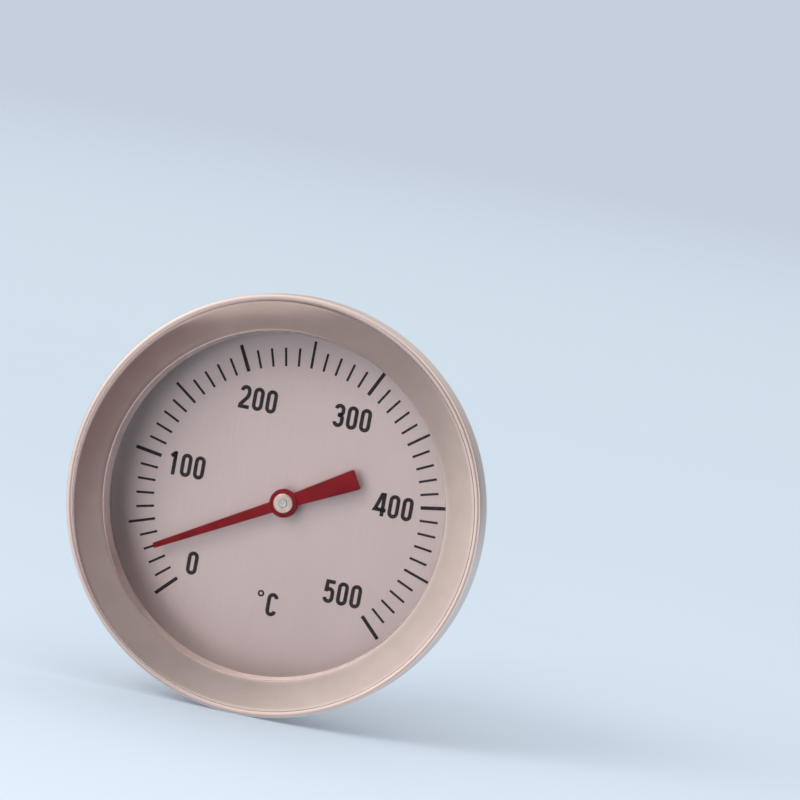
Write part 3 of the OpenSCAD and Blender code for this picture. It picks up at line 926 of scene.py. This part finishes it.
# %% Draw the figures
WIDE, TALL, PEN, DEGREE_PEN = 2.04, 4.3, 0.7, 0.34
right, low_y, high_y = WIDE - PEN / 2, PEN / 2, TALL - PEN / 2
middle, bend = WIDE / 2, (WIDE - PEN) / 2
top_y, foot_y = high_y - bend, low_y + bend
bowl = arc(middle, top_y, bend, 0, 180) + arc(middle, foot_y, bend, 180, 360)
GLYPHS = {
    "0": [(bowl, True)],
    "1": [([(1.28, 0), (1.28, TALL)], False),
          ([(1.5, TALL - 0.18), (1.05, TALL - 0.42), (0.5, TALL - 0.95)], False)],
    "2": [(arc(middle, top_y, bend, 185, 0, 12)
           + [(right, 2.75), (1.5, 2.15), (0.35, low_y + 0.32), (0.33, low_y), (WIDE, low_y)], False)],
    "3": [(arc(middle, top_y, bend, 175, 0) + [(right, 2.75), (1.45, 2.36), (0.8, 2.27)], False),
          ([(0.8, 2.27), (1.45, 2.18), (right, 1.8)] + arc(middle, foot_y, bend, 0, -175), False)],
    "4": [([(WIDE + 0.1, 1.15), (0.1, 1.15), (0.2, 1.35), (1.2, TALL - 0.1)], False),
          ([(1.52, 0), (1.52, TALL)], False)],
    "5": [([(1.95, high_y), (0.52, high_y), (0.42, 2.05)], False),
          (arc(middle, 1.95, (bend, 0.66), 150, 0) + arc(middle, foot_y, bend, 0, -178), False)],
    "C": [(bowl, False)],
    "o": [(arc(0.42, TALL - 0.5, 0.45, 0, 345, 14), True)]}
glyphs = {sign: join("glyph_" + sign, [
    stroke("stroke", points, PEN if sign != "o" else DEGREE_PEN, closed) for points, closed in parts])
    for sign, parts in GLYPHS.items()}
STEP = WIDE + 0.46


def letter(text, across, up, steps=None):
    """Prints text with its middle at a place on the dial."""
    steps = steps or [STEP * i for i in range(len(text))]
    span = steps[-1] + WIDE
    for sign, step in zip(text, steps):
        corner = Vector((across - span / 2 + step, 0, up - TALL / 2))
        stamp(glyphs[sign], Matrix.Translation(corner * MM))


for text, across, up in (
        ("0", -15.2, -14.3), ("100", -19.6, 3.0), ("200", -8.6, 17.4), ("300", 9.1, 17.4),
        ("400", 19.6, 3.1), ("500", 13.2, -14.3)):
    letter(text, across, up)
letter("oC", -0.15, -18.8, [0, 1.75])
for original in (*ticks.values(), *glyphs.values()):
    bpy.data.objects.remove(original)
dial_print = join("dial_print", prints)
finish(dial_print, "case", sharp=30)

# %% [markdown]
# ## Finishes for turned metal
# A tool that goes round leaves fine rings, so turned and spun metal is rough
# across the rings and smooth along them. The pattern is a noise whose three
# coordinates are the distance from the axis, the station and, much more
# slowly, the angle. It drives both a shallow bump and the roughness, and a
# broad soft noise varies the tone so that no surface looks like one colour.
# On the bezel's bead and the wall of its lip the roughness is raised, and a
# lighter colour on them is a painted highlight.

# %% Helpers for finishes
finishes = {}


def new_finish(name, colour, metallic, roughness, **sockets):
    """Keeps a new material, with its plain values on the shader's own sockets."""
    made = finishes[name] = bpy.data.materials.new(name)
    made.use_nodes = True
    shader = made.node_tree.nodes["Principled BSDF"]
    shader.inputs["Base Color"].default_value = (*colour, 1)
    shader.inputs["Metallic"].default_value = metallic
    shader.inputs["Roughness"].default_value = roughness
    for key, value in sockets.items():
        shader.inputs[key.replace("_", " ")].default_value = value
    return made.node_tree, shader


def dress(tree, shader, colour, roughness):
    """Feeds a shader's colour and roughness."""
    tree.links.new(colour, shader.inputs["Base Color"])
    tree.links.new(roughness, shader.inputs["Roughness"])


def off_axis(tree):
    """Distance from the axis."""
    flat = node(tree, "ShaderNodeVectorMath", {
        0: object_place(tree), 1: (1.0, 0.0, 1.0)}, operation="MULTIPLY").outputs["Vector"]
    return node(tree, "ShaderNodeVectorMath", {0: flat}, operation="LENGTH").outputs["Value"]


def cylinder_place(tree, across, along, round_it):
    """Distance from the axis, station and angle, each times its own factor."""
    parts = node(tree, "ShaderNodeSeparateXYZ", {0: object_place(tree)}).outputs
    turn = maths(tree, "ARCTAN2", parts["X"], parts["Z"])
    return node(tree, "ShaderNodeCombineXYZ", {
        "X": maths(tree, "MULTIPLY", off_axis(tree), across),
        "Y": maths(tree, "MULTIPLY", parts["Y"], along),
        "Z": maths(tree, "MULTIPLY", turn, round_it)}).outputs[0]


def noise(tree, place, scale=1.0, detail=2.0, rough=0.5):
    """Soft noise from 0 to 1 at a place."""
    return node(tree, "ShaderNodeTexNoise", {
        "Vector": place, "Scale": scale, "Detail": detail, "Roughness": rough}).outputs["Fac"]


def spread(tree, value, low, high):
    """Stretches the middle of a noise to run from low to high."""
    return node(tree, "ShaderNodeMapRange", {
        "Value": value, "From Min": 0.3, "From Max": 0.7,
        "To Min": low, "To Max": high}).outputs["Result"]


def press(tree, shader, height, distance):
    """Bumps a shader's surface by a height, over a distance in millimetres."""
    bump = node(tree, "ShaderNodeBump", {"Height": height, "Distance": distance * MM})
    tree.links.new(bump.outputs["Normal"], shader.inputs["Normal"])


def turned_finish(name, dark, light, roughness, line, depth, metallic=1.0, blotch=90.0, wander=1.5):
    """Metal with fine rings round the axis and a tone that wanders."""
    tree, shader = new_finish(name, light, metallic, roughness)
    rings = noise(tree, cylinder_place(tree, 1 / (line * MM), 1 / (line * MM), wander), detail=3.0)
    tone = noise(tree, object_place(tree), blotch, 4.0, 0.6)
    both = maths(tree, "ADD", maths(tree, "MULTIPLY", rings, 0.6), maths(tree, "MULTIPLY", tone, 0.4))
    dress(tree, shader, ramp(tree, tone, (0.3, dark), (0.7, light)),
          spread(tree, both, roughness * 0.75, roughness * 1.35))
    press(tree, shader, rings, depth)
    return tree, shader


def paint_edge_highlight(tree, shader):
    """Paints a highlight on the bezel's bead and the wall of its lip as a lighter colour, and makes
    them rougher than its face.
    """
    across = off_axis(tree)
    lip_wall = between(tree, across, (LIP_R + 0.02) * MM, (LIP_R - 0.03) * MM)
    on_bead = between(tree, across, (crease.x + 0.02) * MM, (crease.x + 0.12) * MM)
    edges = maths(tree, "ADD", lip_wall, on_bead)
    colour, roughness = (
        shader.inputs[name].links[0].from_socket for name in ("Base Color", "Roughness"))
    # The lighter colour mixed in on the bead and the lip wall is a painted highlight; the raised
    # roughness is the finish.
    dress(tree, shader, mix(tree, edges, colour, (0.83, 0.75, 0.73)),
          maths(tree, "MAXIMUM", roughness, maths(tree, "MULTIPLY", edges, 0.36)))


paint_edge_highlight(*turned_finish("bezel_steel", (0.6, 0.54, 0.52), (0.68, 0.62, 0.6), 0.13, 0.12, 0.0003))
turned_finish("polished_steel", (0.66, 0.63, 0.62), (0.74, 0.72, 0.72), 0.09, 0.2, 0.0004)
turned_finish("inner_steel", (0.5, 0.5, 0.51), (0.6, 0.6, 0.61), 0.3, 0.15, 0.003)
turned_finish("hub_metal", (0.55, 0.42, 0.36), (0.72, 0.58, 0.51), 0.34, 0.12, 0.004, 0.8, 900.0)
turned_finish("brass", (0.62, 0.43, 0.18), (0.76, 0.57, 0.27), 0.26, 0.15, 0.003)
turned_finish("bimetal", (0.5, 0.38, 0.26), (0.66, 0.56, 0.45), 0.32, 0.1, 0.002, 1.0, 400.0, 12.0)
print("turned finishes:", ", ".join(finishes))

# %% [markdown]
# ## Finishes for the fasteners and the stem
# The stud is plated steel with a bronze tint. Down in the thread's roots,
# its mouth and its bore the colour is darker, a painted shade. The washer was
# tumbled, so it has short scratches in all directions. The nut is bright, with
# only faint scratches. The stem was polished along its length and is a little warm in tone.

# %% Make the fasteners' and the stem's finishes
def scratches(tree, place, scale, length):
    """Fine lines in several directions: stretched noises, each turned about the axis."""
    total = None
    for turn in (0.3, 1.3, 2.2):
        laid = node(tree, "ShaderNodeMapping", {
            "Vector": place, "Rotation": (0.2, turn, 0.1),
            "Scale": (scale, scale, scale / length)}).outputs[0]
        line = between(tree, noise(tree, laid, 1.0, 1.0), 0.62, 0.72)
        total = line if total is None else maths(tree, "ADD", total, line)
    return total


tree, shader = new_finish("stud_steel", (0.6, 0.5, 0.43), 1.0, 0.24)
tint = noise(tree, object_place(tree), 260.0, 4.0, 0.6)
bright = ramp(
    tree, tint, (0.3, (0.58, 0.46, 0.38)), (0.55, (0.64, 0.54, 0.47)), (0.75, (0.62, 0.6, 0.6)))
# Within 5 mm of the axis (thread roots, mouth and bore) the colour is darkened: a painted shade.
unshaded_crests = between(tree, off_axis(tree), 5.0 * MM, 5.7 * MM)
dress(tree, shader, mix(tree, unshaded_crests, (0.3, 0.22, 0.17), bright), spread(tree, tint, 0.18, 0.32))
press(tree, shader, noise(tree, cylinder_place(tree, 8000.0, 8000.0, 2.0)), 0.003)

tree, shader = new_finish("washer_steel", (0.62, 0.57, 0.55), 1.0, 0.34)
place = object_place(tree)
marks = scratches(tree, place, 5000.0, 14.0)
tone = noise(tree, place, 220.0, 5.0, 0.65)
dress(tree, shader, ramp(tree, tone, (0.3, (0.5, 0.44, 0.42)), (0.7, (0.64, 0.59, 0.57))),
      maths(tree, "ADD", spread(tree, tone, 0.24, 0.36), maths(tree, "MULTIPLY", marks, 0.08)))
press(tree, shader, maths(tree, "SUBTRACT", tone, maths(tree, "MULTIPLY", marks, 0.2)), 0.02)

tree, shader = new_finish("nut_steel", (0.66, 0.65, 0.66), 1.0, 0.12)
place = object_place(tree)
marks = scratches(tree, place, 4000.0, 25.0)
tone = noise(tree, place, 160.0, 4.0)
dress(tree, shader, ramp(tree, tone, (0.3, (0.6, 0.58, 0.58)), (0.7, (0.7, 0.69, 0.7))),
      maths(tree, "ADD", spread(tree, tone, 0.09, 0.17), maths(tree, "MULTIPLY", marks, 0.06)))
press(tree, shader, maths(tree, "MULTIPLY", marks, -1.0), 0.0008)

tree, shader = new_finish("stem_steel", (0.6, 0.55, 0.52), 1.0, 0.22)
streaks = noise(tree, cylinder_place(tree, 0.0, 30.0, 45.0), detail=3.0)
tone = noise(tree, object_place(tree), 130.0, 4.0, 0.6)
dress(tree, shader, ramp(tree, tone, (0.3, (0.55, 0.49, 0.46)), (0.7, (0.66, 0.61, 0.58))),
      spread(tree, streaks, 0.15, 0.28))
press(tree, shader, streaks, 0.004)
print("finishes so far:", len(finishes))

# %% [markdown]
# ## Finishes for the dial and what is behind the glass
# The dial is aluminium brushed from top to bottom, so its grain is a noise
# stretched along Z. The pointer's red paint has a fine orange peel. The
# glass lets light through to the dial: a plain glass shader would throw a
# dark shadow, because light is not traced through it exactly, so for shadow
# rays alone the glass is replaced by a transparent shader. Its reflection is
# kept low, or the bright room would lay a haze over the print.

# %% Make the dial's, pointer's and glass's finishes
tree, shader = new_finish("dial_metal", (0.61, 0.485, 0.47), 0.7, 0.42)
place = object_place(tree)
laid = node(tree, "ShaderNodeMapping", {"Vector": place, "Scale": (6500.0, 1.0, 120.0)}).outputs[0]
grain = noise(tree, laid, 1.0, 3.0, 0.6)
cloud = noise(tree, place, 45.0, 3.0)
tone = maths(tree, "ADD", maths(tree, "MULTIPLY", grain, 0.55), maths(tree, "MULTIPLY", cloud, 0.45))
dress(tree, shader, ramp(tree, tone, (0.35, (0.575, 0.455, 0.44)), (0.65, (0.65, 0.523, 0.505))),
      spread(tree, grain, 0.36, 0.48))
press(tree, shader, grain, 0.002)

tree, shader = new_finish("red_paint", linear(118, 12, 22), 0.0, 0.42, Specular_IOR_Level=0.1)
place = object_place(tree)
peel = noise(tree, place, 1600.0, 2.0)
tone = noise(tree, place, 300.0, 3.0)
dress(tree, shader, ramp(tree, tone, (0.3, linear(112, 10, 20)), (0.7, linear(128, 16, 26))),
      spread(tree, peel, 0.32, 0.45))
press(tree, shader, peel, 0.006)

tree, shader = new_finish("dial_ink", linear(28, 20, 22), 0.0, 0.5, Specular_IOR_Level=0.3)
speck = noise(tree, object_place(tree), 3000.0, 3.0)
dress(tree, shader, ramp(tree, speck, (0.3, linear(22, 15, 17)), (0.75, linear(40, 30, 32))),
      spread(tree, speck, 0.42, 0.6))
press(tree, shader, speck, 0.003)

tree, shader = new_finish(
    "clear_glass", (0.985, 0.99, 0.985), 0.0, 0.0,
    Transmission_Weight=1.0, IOR=1.45, Specular_Tint=(0.1, 0.1, 0.1, 1))
haze = noise(tree, object_place(tree), 70.0, 3.0)
tree.links.new(spread(tree, haze, 0.0, 0.012), shader.inputs["Roughness"])
open_shader = node(tree, "ShaderNodeBsdfTransparent", {"Color": (0.96, 0.98, 0.98, 1)})
shown = node(tree, "ShaderNodeMixShader", {
    0: node(tree, "ShaderNodeLightPath").outputs["Is Shadow Ray"],
    1: shader.outputs["BSDF"], 2: open_shader.outputs["BSDF"]})
tree.links.new(shown.outputs["Shader"], tree.nodes["Material Output"].inputs["Surface"])

tree, shader = new_finish("black_rubber", linear(30, 30, 31), 0.0, 0.65)
grit = noise(tree, object_place(tree), 2200.0, 4.0, 0.7)
dress(tree, shader, ramp(tree, grit, (0.3, linear(24, 24, 25)), (0.7, linear(44, 44, 45))),
      spread(tree, grit, 0.55, 0.75))
press(tree, shader, grit, 0.02)

tree, shader = new_finish("fibre", linear(142, 62, 44), 0.0, 0.7)
hairs = scratches(tree, object_place(tree), 2500.0, 12.0)
dress(tree, shader, mix(tree, hairs, linear(128, 54, 38), linear(176, 104, 78)),
      maths(tree, "SUBTRACT", 0.78, maths(tree, "MULTIPLY", hairs, 0.1)))
press(tree, shader, hairs, 0.02)
print("finishes:", len(finishes))

# %% [markdown]
# ## Hand out the finishes
# A modelled piece takes the finish of its slot, and each construction node
# that still shows takes the finish that the record names for it. Only the
# material slots of a construction node change.

# %% Assign every finish
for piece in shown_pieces():
    if "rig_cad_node" not in piece:
        piece.data.materials.clear()
        piece.data.materials.append(finishes[piece.get("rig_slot", "dial_ink")])
for row in frame["record"]["subparts"]:
    shape = frame["nodes"][row["node"]]
    if not shape.material_slots:
        shape.data.materials.append(None)
    for slot in shape.material_slots:
        slot.material = finishes[row["material_slot"]]
